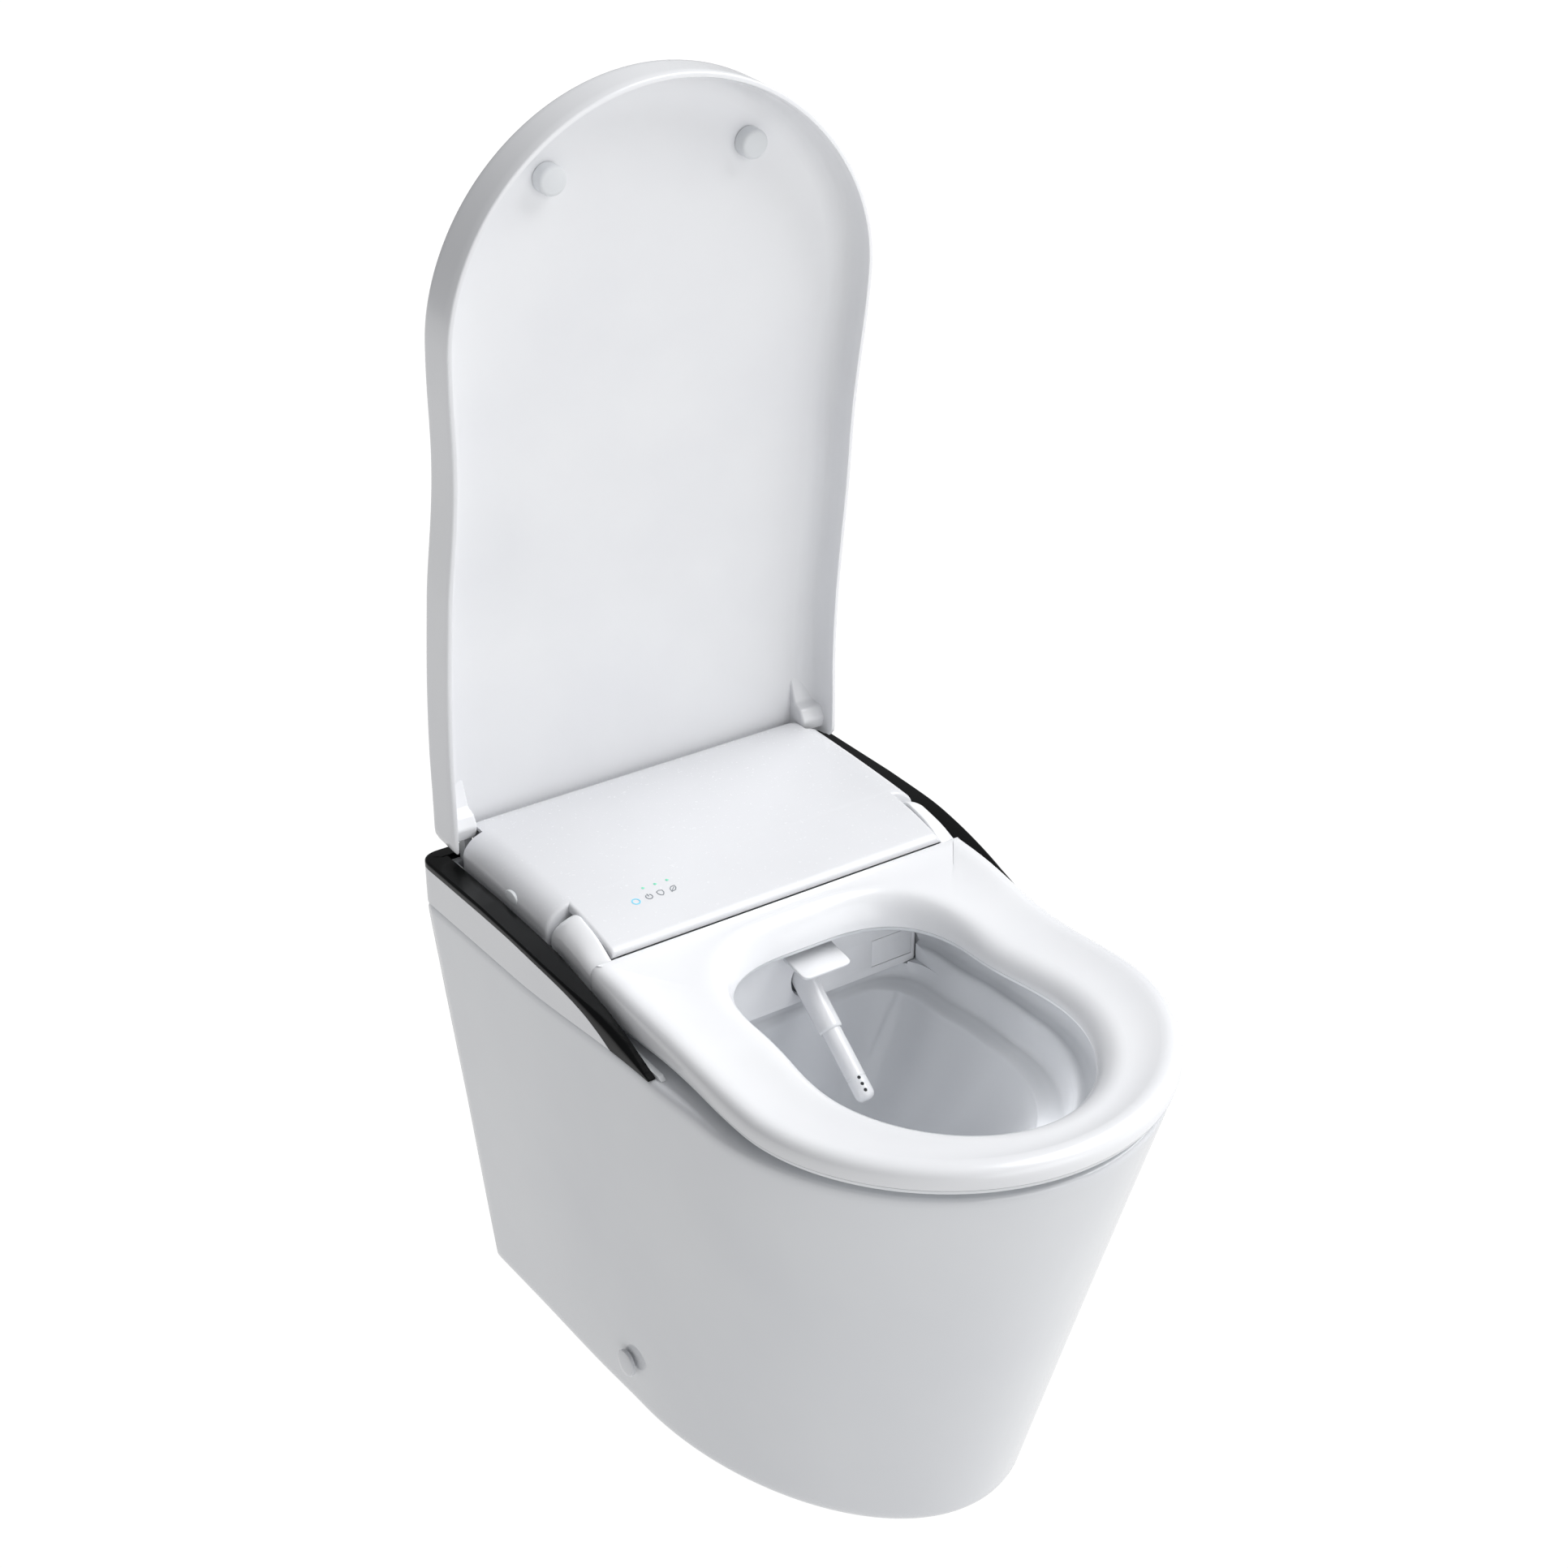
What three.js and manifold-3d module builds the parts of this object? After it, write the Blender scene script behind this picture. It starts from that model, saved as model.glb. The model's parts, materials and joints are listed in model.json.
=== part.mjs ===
// Close-to-wall electric bidet toilet: china pan, seat unit, seat ring, lid and wash wand.
// Millimetres, Z up, floor at Z = 0, front of the pan towards -Y.
import * as THREE from 'three';
import { mergeVertices, toCreasedNormals } from 'three/addons/utils/BufferGeometryUtils.js';
import ManifoldModule from 'manifold-3d';

const wasm = await ManifoldModule();
wasm.setup();
const { Manifold, Mesh } = wasm;

// ---------------------------------------------------------------- driving sizes
const backY = 300;               // wall side of the pan
const deckZ = 385;               // flat top of the china
const gap = 0.3;                 // running gap between neighbours
const plateZ = deckZ + gap;      // underside of the seat unit

const lidAxis = new THREE.Vector3(0, 283, 450);
const lidLean = THREE.MathUtils.degToRad(4.5);   // open lid leans this far forward
const lidSkirt = 24;             // skirt below the hinge axis when shut
const lidTop = 12;               // lid crown above the hinge axis when shut
const lidInner = 4.5;            // inner face above the hinge axis when shut

const seatAxis = new THREE.Vector3(0, 118, 424);
const seatBottom = 392;
const seatFlat = 412;            // height of the front of the ring
const earOuter = 174.2;
const earInner = 156.3;
const seatRear = 74.3;

const coverSide = 176.5;
const tongueSide = 155.5;
const tongueFront = 76;

const wandX = 12;
const wandTilt = THREE.MathUtils.degToRad(38);
const wandExit = new THREE.Vector3(wandX, 64, 355);
const wandOuterRadius = 10;
const wandInnerRadius = 8;
const fasciaY = 62;
const shutter = { x0: 79, x1: 119, z0: 340, z1: 364 };   // drying air outlet in the fascia

// ---------------------------------------------------------------- materials
const finish = (color, roughness, metalness = 0) =>
  new THREE.MeshStandardMaterial({ color, roughness, metalness });
const china = finish(0xf3f4f5, 0.08);
const whiteGloss = finish(0xf1f2f4, 0.22);
const whiteSatin = finish(0xe6e8ea, 0.45);
const blackGloss = finish(0x17181a, 0.15);
const greyPlastic = finish(0x8a8f94, 0.5);
const greenBoard = finish(0x1f6b45, 0.6);
const softGrey = finish(0xd9dcdf, 0.7);
const steel = finish(0xb9bdc2, 0.3, 1);
const brassYellow = finish(0xc7a35a, 0.35, 1);
const mintLight = finish(0x6fd7b0, 0.3);
const cyanLight = finish(0x67c7e3, 0.3);

// ---------------------------------------------------------------- helpers
const group = new THREE.Group();
group.name = 'electric_bidet_toilet';

function add(name, geometry, material) {
  const mesh = new THREE.Mesh(geometry, material);
  mesh.name = name;
  group.add(mesh);
  return mesh;
}

function solid(geometry) {
  const plain = new THREE.BufferGeometry();
  const loose = geometry.index ? geometry.toNonIndexed() : geometry;
  plain.setAttribute('position', loose.getAttribute('position'));
  const merged = mergeVertices(plain, 1e-4);
  return new Manifold(new Mesh({
    numProp: 3,
    vertProperties: new Float32Array(merged.getAttribute('position').array),
    triVerts: new Uint32Array(merged.getIndex().array),
  }));
}

function geometryOf(body) {
  const mesh = body.simplify(0.02).getMesh();
  const geometry = new THREE.BufferGeometry();
  geometry.setAttribute('position', new THREE.BufferAttribute(new Float32Array(mesh.vertProperties), 3));
  geometry.setIndex(new THREE.BufferAttribute(new Uint32Array(mesh.triVerts), 1));
  return toCreasedNormals(geometry, 0.6);
}

function box(x0, x1, y0, y1, z0, z1) {
  const geometry = new THREE.BoxGeometry(x1 - x0, y1 - y0, z1 - z0);
  return geometry.translate((x0 + x1) / 2, (y0 + y1) / 2, (z0 + z1) / 2);
}

// Cylinder whose axis lies along x, y or z.
function rod(radius, length, axis, x, y, z, sides = 32) {
  const geometry = new THREE.CylinderGeometry(radius, radius, length, sides);
  if (axis === 'x') geometry.rotateZ(Math.PI / 2);
  if (axis === 'z') geometry.rotateX(Math.PI / 2);
  return geometry.translate(x, y, z);
}

// Triangles between the mirrored halves of a plan outline, for caps that bend along Y.
function ladder(count) {
  const faces = [[0, 1, count - 1]];
  for (let i = 1; i < (count - 1) / 2; i += 1) {
    faces.push([i, i + 1, count - i - 1], [i, count - i - 1, count - i]);
  }
  return faces;
}

// Closed body through a stack of equally long rings, capped at both ends.
function skin(rings, bent = false) {
  const count = rings[0].length;
  const position = rings.flat().flatMap((p) => [p.x, p.y, p.z]);
  const index = [];
  for (let r = 0; r < rings.length - 1; r += 1) {
    for (let i = 0; i < count; i += 1) {
      const a = r * count + i;
      const b = r * count + ((i + 1) % count);
      index.push(a, b, b + count, a, b + count, a + count);
    }
  }
  const flat = rings[0].map((p) => new THREE.Vector2(p.u ?? p.x, p.v ?? p.y));
  const last = (rings.length - 1) * count;
  for (const [a, b, c] of bent ? ladder(count) : THREE.ShapeUtils.triangulateShape(flat, [])) {
    index.push(a, c, b);
    index.push(last + a, last + b, last + c);
  }
  const geometry = new THREE.BufferGeometry();
  geometry.setAttribute('position', new THREE.Float32BufferAttribute(position, 3));
  geometry.setIndex(index);
  return geometry;
}

// Plan outline, mirrored about X = 0: round front, waist, wider rear with rounded corners.
function outline({ front, lobe, lobeY, waist, waistY, rear, rearY, back, corner }, offset = 0) {
  const half = new THREE.CurvePath();
  const at = (x, y) => new THREE.Vector2(x, y);
  const run = waistY - lobeY;
  const tail = rearY - waistY;
  half.add(new THREE.CubicBezierCurve(
    at(0, front), at(lobe * 0.56, front), at(lobe, lobeY + (front - lobeY) * 0.5), at(lobe, lobeY)));
  half.add(new THREE.CubicBezierCurve(
    at(lobe, lobeY), at(lobe, lobeY + run * 0.4), at(waist, waistY - run * 0.4), at(waist, waistY)));
  half.add(new THREE.CubicBezierCurve(
    at(waist, waistY), at(waist, waistY + tail * 0.35), at(rear, rearY - tail * 0.35), at(rear, rearY)));
  half.add(new THREE.LineCurve(at(rear, rearY), at(rear, back - corner)));
  half.add(new THREE.QuadraticBezierCurve(at(rear, back - corner), at(rear, back), at(rear - corner, back)));
  const steps = [12, 4, 4, 1, 4];
  const right = [];
  half.curves.forEach((curve, k) => {
    for (let i = 0; i < steps[k]; i += 1) {
      const p = curve.getPoint(i / steps[k]);
      const t = curve.getTangent(i / steps[k]);
      right.push(at(p.x + t.y * offset, p.y - t.x * offset));
    }
  });
  right.push(at(rear - corner, back + offset));
  const left = right.slice(1).reverse().map((p) => at(-p.x, p.y));
  return [...right, ...left];
}

const lift = (points, z) => points.map((p) => new THREE.Vector3(p.x, p.y, z));
const blend = (a, b, t) =>
  Object.fromEntries(Object.keys(a).map((key) => [key, a[key] + (b[key] - a[key]) * t]));

// Body whose side view is a list of [y, z] points, extruded along X.
function sideBody(points, x0, x1) {
  const shape = new THREE.Shape(points.map(([y, z]) => new THREE.Vector2(y, z)));
  const geometry = new THREE.ExtrudeGeometry(shape, { depth: x1 - x0, bevelEnabled: false, curveSegments: 12 });
  return geometry.rotateY(Math.PI / 2).rotateX(Math.PI / 2).translate(x0, 0, 0);
}

// Smooth curve through [y, z] points, sampled for a side view.
const smooth = (points, count) =>
  new THREE.SplineCurve(points.map(([y, z]) => new THREE.Vector2(y, z)))
    .getPoints(count).map((p) => [p.x, p.y]);

const hull = (parts) => parts.reduce((sum, part) => sum.add(part));

// ---------------------------------------------------------------- china pan
const foot = {
  front: -188, lobe: 152, lobeY: 55, waist: 153, waistY: 130, rear: 152, rearY: 230, back: backY, corner: 6,
};
const rim = {
  front: -297, lobe: 188, lobeY: -100, waist: 190.5, waistY: -20, rear: 199, rearY: 150, back: backY, corner: 14,
};
const panRings = [0, 6, 80, 160, 240, 320, 372, 381, deckZ].map((z) => {
  const inset = z < 6 ? -3 : z > 380 ? -(z - 380) * 0.55 : 0;
  return lift(outline(blend(foot, rim, z / deckZ), inset), z);
});

const well = {
  front: -246, lobe: 143, lobeY: -95, waist: 143, waistY: -40, rear: 138, rearY: 20, back: 79, corner: 45,
};
const throat = {
  front: -40, lobe: 30, lobeY: -8, waist: 31, waistY: 0, rear: 30, rearY: 10, back: 44, corner: 28,
};
const hollowLevels = [
  [386, 0], [372, 0.0], [352, 0.03], [346, 0.13], [320, 0.2], [280, 0.36], [240, 0.6], [205, 0.88], [170, 1],
];
const hollowRings = hollowLevels.reverse().map(([z, t]) => lift(outline(blend(well, throat, t)), z));

const trapBend = new THREE.CubicBezierCurve3(
  new THREE.Vector3(0, 4, 190), new THREE.Vector3(0, 40, 150),
  new THREE.Vector3(0, 90, 180), new THREE.Vector3(0, 200, 185));
const trapRound = new THREE.Shape().absarc(0, 0, 27, 0, Math.PI * 2);
const trapTunnel = new THREE.ExtrudeGeometry(trapRound, {
  extrudePath: trapBend, steps: 14, curveSegments: 10, bevelEnabled: false,
});

const bay = [-126, 126];
const pan = solid(skin(panRings))
  .subtract(solid(skin(hollowRings)))
  .subtract(solid(box(-122, 122, 150, 320, 18, 400)))
  .subtract(solid(box(bay[0], bay[1], 60, 160, 332, 400)))
  .subtract(solid(box(shutter.x0 - 3, shutter.x1 + 3, 28, 70, 334, 400)))
  .subtract(solid(trapTunnel))
  .subtract(solid(rod(12.3, 6, 'x', -162.5, 65, 46)))
  .subtract(solid(rod(12.3, 6, 'x', 162.5, 65, 46)));
add('bowl_pedestal', geometryOf(pan), china);

for (const [side, sign] of [['left', -1], ['right', 1]]) {
  add(`bolt_cap_${side}`, rod(11.8, 3.4, 'x', sign * 161.6, 65, 46, 28), china);
}

// ---------------------------------------------------------------- black trim and side panels
const unitFoot = { ...rim, corner: 16 };
const unitHead = { ...rim, lobe: 188, waist: 191, rear: 200, corner: 18 };
const unitBand = solid(skin([0, 0.5, 1].map((t) => lift(outline(blend(unitFoot, unitHead, t)), plateZ + 60 * t))));
const inner = {
  front: -280, lobe: 176, lobeY: -95, waist: 184, waistY: -20, rear: 179.8, rearY: 110, back: 287, corner: 10,
};
const innerCore = solid(skin([380, 460].map((z) => lift(outline(inner), z))));
const unitShell = unitBand.subtract(innerCore);

const trimUpper = [[-30, 386], [-8, 393], [14, 400], [40, 407], [73, 413], [108, 418], [141, 421.5], [200, 424]];
const trimLower = [[22, plateZ], [36, 393], [56, 401.5], [82, 408.5], [116, 414], [152, 417.5], [200, 418.5]];
const trimSide = [
  [-34, plateZ],
  ...smooth(trimUpper, 20),
  [330, 424], [330, 418.5],
  ...smooth(trimLower, 18).reverse(),
];
const trimBody = unitShell.intersect(solid(sideBody(trimSide, -230, 230)));
add('trim_band', geometryOf(trimBody), blackGloss);

const panelSide = [
  [22 + gap, plateZ], [330, plateZ], [330, 418.5 - gap],
  ...smooth(trimLower, 18).reverse().map(([y, z]) => [y + gap, z - gap]).slice(0, -1),
];
const panelBody = unitShell.intersect(solid(sideBody(panelSide, -230, 230)));
add('side_panel_left', geometryOf(panelBody.intersect(solid(box(-230, -150, -50, 320, 380, 440)))), whiteGloss);
add('side_panel_right', geometryOf(panelBody.intersect(solid(box(150, 230, -50, 320, 380, 440)))), whiteGloss);
add('rear_panel', geometryOf(panelBody.intersect(
  solid(box(-150 + gap, 150 - gap, 200, 320, 380, 440)))), whiteGloss);

// ---------------------------------------------------------------- chassis of the seat unit
const ledgeCore = solid(skin([plateZ, 460].map((z) => lift(outline(inner, -gap), z))));
const ledgeSide = [[-34, plateZ], [-30, 388], [20, 391], [96, 404], [137, 410.5], [275, 417], [286.5, 417], [286.5, plateZ]];
const chassis = ledgeCore
  .intersect(solid(sideBody(ledgeSide, -230, 230)))
  .subtract(solid(box(-174, 174, -60, 282, plateZ + 3, 430)))
  .subtract(solid(box(bay[0] + 2, bay[1] - 2, -60, 160, 380, 392)))
  .subtract(solid(box(-178.5, 178.5, -60, 141, plateZ + 3, 430)))
  .subtract(solid(box(-178.5, 178.5, -60, 60, 380, 392)))
  .subtract(solid(box(-60, 60, 190, 262, 380, 392)));
add('unit_chassis', geometryOf(chassis), whiteSatin);

// ---------------------------------------------------------------- unit cover with its front tongue
const coverLine = new THREE.SplineCurve([
  [tongueFront, 430], [92, 434.5], [115, 439.5], [150, 443.5], [210, 446.8], [283, 449],
].map(([y, z]) => new THREE.Vector2(y, z)));
function coverHeight(y) {
  let t = (y - tongueFront) / (283 - tongueFront);
  for (let i = 0; i < 12; i += 1) t += (y - coverLine.getPoint(t).x) / 220;
  return coverLine.getPoint(THREE.MathUtils.clamp(t, 0, 1)).y;
}
// Arch section across X at one Y: flat foot, upright sides, rounded shoulders.
function arch(y, half, top, shoulder, floor) {
  const ring = [];
  const corner = 7;
  const push = (x, z) => {
    const p = new THREE.Vector3(x, y, z);
    p.u = x;
    p.v = z;
    ring.push(p);
  };
  push(-half, floor);
  push(half, floor);
  for (let i = 0; i <= corner; i += 1) {
    const a = (i / corner) * Math.PI / 2;
    push(half - shoulder * (1 - Math.cos(a)), top - shoulder * 0.72 * (1 - Math.sin(a)));
  }
  for (let i = corner; i >= 0; i -= 1) {
    const a = (i / corner) * Math.PI / 2;
    push(-half + shoulder * (1 - Math.cos(a)), top - shoulder * 0.72 * (1 - Math.sin(a)));
  }
  return ring;
}
const sideFoot = (y) => 411.2 + (y - 137) * 0.0545;
const archBody = (stations) => solid(skin(stations.reverse()));
const coverOuter = archBody([137.6, 170, 210, 250, 276, 281, 283].map((y) =>
  arch(y, coverSide - (y > 282 ? 1.5 : 0), coverHeight(y) - (y > 282 ? 1.5 : 0), 26, sideFoot(y))));
const coverInner = archBody([140.6, 170, 210, 250, 280].map((y) =>
  arch(y, coverSide - 3, coverHeight(y) - 3, 24, 400)));
const tongueStations = [tongueFront, 78, 82, 92, 104, 118, 130, 141];
const tongueOuter = archBody(tongueStations.map((y) =>
  arch(y, tongueSide, coverHeight(y) - (y < 77 ? 2.2 : 0), 4, coverHeight(y) - (y < 77 ? 4 : 6.5))));
const tongueShelf = archBody([86, 100, 118, 141].map((y) =>
  arch(y, tongueSide, coverHeight(y) - 4, 3, 408)));
const tongueHollow = archBody([89, 100, 118, 142].map((y) =>
  arch(y, tongueSide - 3, coverHeight(y) - 3, 3, 402)));
const recess = hull([-1, 1].map((s) => solid(box(
  Math.min(s * 158, s * 200), Math.max(s * 158, s * 200), 266, 290, 410, 470))));

const buttonAt = { y: 190, z: 430 };
function buttonPlug(grow, x0, x1) {
  const oval = new THREE.Shape().absellipse(0, 0, 5 + grow, 9 + grow, 0, Math.PI * 2);
  const geometry = new THREE.ExtrudeGeometry(oval, { depth: x1 - x0, bevelEnabled: false, curveSegments: 12 });
  return geometry.rotateY(Math.PI / 2).translate(x0, buttonAt.y, buttonAt.z);
}

const lights = [
  ['led_ring', -109.5, 113.5, 4, cyanLight],
  ['led_dot_1', -96, 127, 1.7, mintLight],
  ['led_dot_2', -85, 127, 1.7, mintLight],
  ['led_dot_3', -74, 127, 1.7, mintLight],
];
const pockets = hull(lights.map(([, x, y, r]) => solid(rod(r + gap, 3, 'z', x, y, coverHeight(y) + 0.2, 24))));
const pinHoles = hull([-1, 1].map((s) => solid(rod(4.1, 30, 'x', s * 155, seatAxis.y, seatAxis.z, 32))));
const cover = coverOuter.add(tongueOuter).add(tongueShelf)
  .subtract(coverInner).subtract(tongueHollow).subtract(recess)
  .subtract(solid(buttonPlug(0.35, -185, -160))).subtract(pockets).subtract(pinHoles);
add('unit_cover', geometryOf(cover), whiteGloss);
add('side_button', buttonPlug(0, -178, -170), softGrey);
for (const [name, x, y, r, light] of lights) {
  add(name, rod(r, 1.2, 'z', x, y, coverHeight(y) - 0.4, 24), light);
}

// ---------------------------------------------------------------- nozzle housing, wand and dryer
const forward = new THREE.Vector3(0, -Math.cos(wandTilt), -Math.sin(wandTilt));
const under = new THREE.Vector3(0, Math.sin(wandTilt), -Math.cos(wandTilt));
// Geometry drawn along +Y, laid on the wand axis so that y = s millimetres past the exit.
const onWand = (geometry) => geometry.rotateZ(Math.PI).rotateX(wandTilt)
  .translate(wandExit.x, wandExit.y, wandExit.z);
const tube = (radius, s0, s1, sides = 32) => onWand(rod(radius, s1 - s0, 'y', 0, (s0 + s1) / 2, 0, sides));

const fascia = solid(box(-122, 122, fasciaY, fasciaY + 3, 333, 384.5))
  .add(solid(box(-122, -119, fasciaY, 110, 333, 384.5)))
  .add(solid(box(119.5, 122, fasciaY, 110, 333, 384.5)))
  .subtract(solid(tube(12.5, -40, 40)))
  .subtract(solid(box(shutter.x0 - gap, shutter.x1 + gap, 50, 70, shutter.z0 - gap, shutter.z1 + 0.7)));
add('front_fascia', geometryOf(fascia), whiteGloss);
add('dryer_shutter', box(shutter.x0, shutter.x1, fasciaY + 0.2, fasciaY + 2.2, shutter.z0, shutter.z1), whiteGloss);

const pinionAt = wandExit.clone().addScaledVector(forward, -32).addScaledVector(under, 16.6);
const guide = solid(onWand(box(-14, 14, -56, -13, -14, 13)))
  .add(solid(box(wandX - 14, wandX + 14, 70, 80, 332.4, 356)))
  .subtract(solid(tube(10.5, -120, 20)))
  .subtract(solid(rod(7, 12, 'x', wandX, pinionAt.y, pinionAt.z, 24)))
  .subtract(solid(box(wandX - 15, wandX + 15, 80.5, pinionAt.y + 20, 330, pinionAt.z - 3)));
add('wand_guide', geometryOf(guide), greyPlastic);
add('wand_outer', geometryOf(solid(tube(wandOuterRadius, -60, 50)).subtract(solid(tube(8.35, -70, 60)))), whiteGloss);

const tipAt = 112;
const tip = solid(tube(wandInnerRadius, 0, tipAt)).subtract(
  hull([-18, -12, -6].map((s) => solid(onWand(rod(1.3, 6, 'z', 0, tipAt + s, 7.5, 12))))));
add('wand_inner', geometryOf(tip), whiteGloss);
add('wand_pinion', rod(6, 8, 'x', wandX, pinionAt.y, pinionAt.z, 20), greyPlastic);
add('wand_motor', rod(11, 30, 'x', wandX + 29.5, pinionAt.y, pinionAt.z, 28), steel);

const flapAxis = new THREE.Vector3(wandX, 58.3, 382);
const flapShape = new THREE.Shape().moveTo(-23, 0).lineTo(23, 0).lineTo(23, -24)
  .quadraticCurveTo(23, -30, 17, -30).lineTo(-17, -30).quadraticCurveTo(-23, -30, -23, -24);
const flap = new THREE.ExtrudeGeometry(flapShape, { depth: 3, bevelEnabled: false, curveSegments: 5 });
flap.translate(0, 0, -1.5).rotateX(THREE.MathUtils.degToRad(10))
  .translate(flapAxis.x, flapAxis.y, flapAxis.z);
add('nozzle_flap', flap, whiteGloss);

add('dryer_duct', geometryOf(solid(box(84, 114, 66, 148, 340, 372)).subtract(
  solid(box(87, 111, 60, 145, 343, 369))).subtract(solid(box(90, 108, 125, 140, 360, 380)))), greyPlastic);
const blowerAt = { x: 122, y: 205 };
const blower = solid(rod(36, 34, 'z', blowerAt.x, blowerAt.y, 406, 40))
  .subtract(solid(rod(32, 34, 'z', blowerAt.x, blowerAt.y, 409, 40)));
add('blower_housing', geometryOf(blower), greyPlastic);
const blades = [...Array(8).keys()].map((k) => {
  const blade = box(5, 29, -1.1, 1.1, 394, 414).rotateZ((k / 8) * Math.PI * 2);
  return solid(blade.translate(blowerAt.x, blowerAt.y, 0));
});
add('blower_impeller', geometryOf(hull(blades).add(
  solid(rod(9, 22, 'z', blowerAt.x, blowerAt.y, 404, 24)))), whiteSatin);

// ---------------------------------------------------------------- water and electrics inside the unit
add('water_heater', box(-160, -100, 160, 255, 389, 420), steel);
add('valve_block', box(-94, -66, 196, 244, 389, 416), brassYellow);
add('water_inlet', rod(8, 26, 'y', -80, 258, 402, 24), brassYellow);
add('deodoriser', box(62, 82, 192, 260, 389, 425), softGrey);
add('control_board', box(-58, 58, 266, 268, 389, 428), greenBoard);
add('power_supply', box(92, 150, 246, 278, 389, 424), greyPlastic);
add('seat_drive', rod(9, 42, 'x', 106, seatAxis.y, seatAxis.z, 28), steel);
add('seat_damper', rod(9, 42, 'x', -106, seatAxis.y, seatAxis.z, 28), greyPlastic);

// ---------------------------------------------------------------- flushing parts behind the bowl
add('flush_tank', box(-112, 112, 162, 288, 250, 372), softGrey);
add('flush_pump', rod(34, 90, 'z', -70, 225, 66, 32), greyPlastic);
const waste = solid(rod(30, 140, 'y', 0, 226, 184, 40)).subtract(solid(rod(26, 160, 'y', 0, 226, 184, 40)));
add('waste_pipe', geometryOf(waste), softGrey);

// ---------------------------------------------------------------- seat ring
const seatPlan = {
  front: -300, lobe: 179, lobeY: -130, waist: 174.5, waistY: -30, rear: 176.6, rearY: 40, back: seatRear, corner: 2,
};
const holePlan = {
  front: -250, lobe: 107, lobeY: -110, waist: 106, waistY: -70, rear: 92, rearY: -30, back: 43, corner: 66,
};
const rise = (y) => 14 * THREE.MathUtils.smoothstep(y, -75, 78);
function seatRing(from, offset, z, lifted = 0) {
  return outline(from, offset).map((p) => {
    const y = Math.min(p.y, seatRear);
    return new THREE.Vector3(p.x, y, z + lifted * rise(y));
  });
}
const between = (a, b, t, drop) => a.map((p, i) => {
  const q = p.clone().lerp(b[i], t);
  q.z -= drop;
  return q;
});
// Closed band: rings joined head to tail, no caps.
function band(rings) {
  const count = rings[0].length;
  const index = [];
  for (let r = 0; r < rings.length; r += 1) {
    const next = ((r + 1) % rings.length) * count;
    for (let i = 0; i < count; i += 1) {
      const j = (i + 1) % count;
      index.push(r * count + i, r * count + j, next + j, r * count + i, next + j, next + i);
    }
  }
  const geometry = new THREE.BufferGeometry();
  const position = rings.flat().flatMap((p) => [p.x, p.y, p.z]);
  geometry.setAttribute('position', new THREE.Float32BufferAttribute(position, 3));
  geometry.setIndex(index);
  return geometry;
}
const outerTop = seatRing(seatPlan, -12, seatFlat + 0.4, 1);
const innerTop = seatRing(holePlan, 17, seatFlat - 1.6, 1);
const upper = solid(band([
  seatRing(seatPlan, 0, 396.3), seatRing(seatPlan, 0, 403, 1), seatRing(seatPlan, -1.6, 407.5, 1),
  seatRing(seatPlan, -5.5, 411, 1), outerTop, between(outerTop, innerTop, 0.5, 1.2), innerTop,
  seatRing(holePlan, 9, 408, 0.8), seatRing(holePlan, 4, 404, 0.4), seatRing(holePlan, 1, 400),
  seatRing(holePlan, 0, 396.3),
]));
const lower = solid(band([
  seatRing(seatPlan, -4, seatBottom), seatRing(seatPlan, -1, 394), seatRing(seatPlan, -0.2, 396),
  seatRing(holePlan, 0.2, 396), seatRing(holePlan, 3, seatBottom),
]));
const earTop = smooth([[56, 416], [74, 424.6], [94, 435], [118, 441.5]], 8);
const earBack = [...Array(10).keys()].map((k) => {
  const a = Math.PI / 2 - ((k + 1) / 10) * Math.PI;
  return [seatAxis.y + 17.5 * Math.cos(a), seatAxis.z + (a > 0 ? 17.5 : 18.5) * Math.sin(a)];
});
const earSide = [...earTop, ...earBack, [100, 405.5], [84, 400], [56, 400]];
// The ear's upper half drops outwards with the rounded shoulder of the unit cover.
function ear(side) {
  const stations = [earInner, 162, 167, 171, earOuter].map((x) => {
    const drop = 18.7 * (1 - Math.sqrt(1 - ((x - 150.5) / 26) ** 2));
    return earSide.map(([y, z]) => {
      const p = new THREE.Vector3(side * x, y, z - drop * THREE.MathUtils.clamp((z - 404) / 38, 0, 1));
      p.u = y * side;
      p.v = z;
      return p;
    });
  });
  return solid(skin(side > 0 ? stations.map((ring) => ring.reverse()) : stations));
}
const ears = hull([-1, 1].map((side) => ear(side)));
const earHoles = hull([-1, 1].map((s) => solid(rod(4.1, 40, 'x', s * 155, seatAxis.y, seatAxis.z, 32))));
const seatSwing = solid(rod(43.2, 2 * earInner + 1.4, 'x', 0, seatAxis.y, seatAxis.z, 96));
const clearSwing = (body) => body.subtract(seatSwing);
add('seat_top', geometryOf(clearSwing(upper).add(ears).subtract(earHoles)), whiteGloss);
add('seat_base', geometryOf(clearSwing(lower)), whiteSatin);
const feetAt = [['front_left', -62, -262], ['front_right', 62, -262], ['rear_left', -160, -60], ['rear_right', 160, -60]];
for (const [place, x, y] of feetAt) {
  add(`seat_foot_${place}`, rod(8, 6.2, 'z', x, y, 388.6, 24), softGrey);
}
for (const [side, s] of [['left', -1], ['right', 1]]) {
  add(`seat_pin_${side}`, rod(4, 44, 'x', s * 152.6, seatAxis.y, seatAxis.z, 32), steel);
  const block = solid(box(129, 151, 106, 130, 388.8, 432)).subtract(solid(rod(4.1, 60, 'x', 140, seatAxis.y, seatAxis.z, 32)));
  add(`seat_bearing_${side}`, geometryOf(s < 0 ? block.mirror([1, 0, 0]) : block), greyPlastic);
}

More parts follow.
